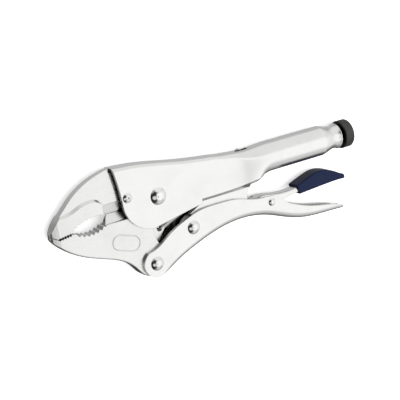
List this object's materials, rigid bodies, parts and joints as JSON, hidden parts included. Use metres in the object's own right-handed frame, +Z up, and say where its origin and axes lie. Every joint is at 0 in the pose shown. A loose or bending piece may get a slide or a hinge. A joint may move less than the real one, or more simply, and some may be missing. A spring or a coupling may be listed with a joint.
{
  "type": "locking pliers",
  "caption": "Curved-jaw locking pliers with wire cutter, toggle-linked pressed handles, adjusting screw in a rolled tube and a sleeved release lever.",
  "frame": {"origin": "centre of the bounding box at the surface the tool lies on, tool on its flat side", "axes": "+X along the rolled tube towards the knob, +Y from the lower to the upper handle, +Z up, square to the flat sides"},
  "size_m": [0.2482, 0.0822, 0.0224],
  "materials": {
    "plated_sheet": "bright satin nickel plate on pressed sheet, fine grain along the length",
    "plated_forging": "bright satin nickel plate on a forging, slightly coarser than the handles",
    "plated_rivet": "polished plated dome",
    "inner_steel": "dull plated bar, lightly oiled",
    "spring_wire": "drawn wire",
    "screw_steel": "rolled thread, dull plate",
    "dark_knob": "dark oxide, fine knurl on the rim",
    "blue_plastic": "soft semi-matte dipped plastic, navy"
  },
  "bodies": {
    "frame": {"upper_handle": "plated_sheet", "upper_jaw": "plated_forging", "upper_jaw_rivet": "plated_rivet", "jaw_pivot_rivet": "plated_rivet", "neck_bush": "inner_steel", "tension_spring": "spring_wire"},
    "jaw": {"lower_jaw": "plated_forging"},
    "grip": {"lower_handle": "plated_sheet", "jaw_handle_rivet": "plated_rivet", "toggle_rivet": "plated_rivet", "lever_pivot_rivet": "plated_rivet"},
    "link": {"toggle_link": "inner_steel"},
    "lever": {"release_lever": "plated_sheet", "lever_sleeve": "blue_plastic"},
    "screw": {"adjusting_screw": "screw_steel"},
    "knob": {"screw_knob": "dark_knob"}
  },
  "joints": [
    {"name": "jaw_hinge", "type": "hinge", "parent": "frame", "child": "jaw", "pos_m": [-0.0442, 0.01435, 0.0112], "axis": [0, 0, 1], "range_deg": [0, 21], "deforming": ["tension_spring"]},
    {"name": "grip_hinge", "type": "hinge", "parent": "jaw", "child": "grip", "pos_m": [-0.0536, -0.03155, 0.0112], "axis": [0, 0, -1], "range_deg": [0, 66]},
    {"name": "link_hinge", "type": "hinge", "parent": "grip", "child": "link", "pos_m": [-0.0214, -0.01465, 0.0112], "axis": [0, 0, 1], "range_deg": [0, 77]},
    {"name": "lever_hinge", "type": "hinge", "parent": "grip", "child": "lever", "pos_m": [0.045, -0.01435, 0.0112], "axis": [0, 0, -1], "range_deg": [0, 8]},
    {"name": "screw_slide", "type": "slide", "parent": "frame", "child": "screw", "axis": [1, 0, 0], "range_m": [0, 0.015]},
    {"name": "knob_turn", "type": "hinge", "parent": "screw", "child": "knob", "pos_m": [0.1198, 0.01815, 0.0112], "axis": [1, 0, 0], "range_deg": [0, 4325]}
  ],
  "couplings": [
    {"joint": "jaw_hinge", "follows": "grip_hinge", "ratio": 0.31},
    {"joint": "link_hinge", "follows": "grip_hinge", "ratio": 1.155},
    {"joint": "knob_turn", "follows": "screw_slide", "rad_per_m": 5026.5}
  ]
}
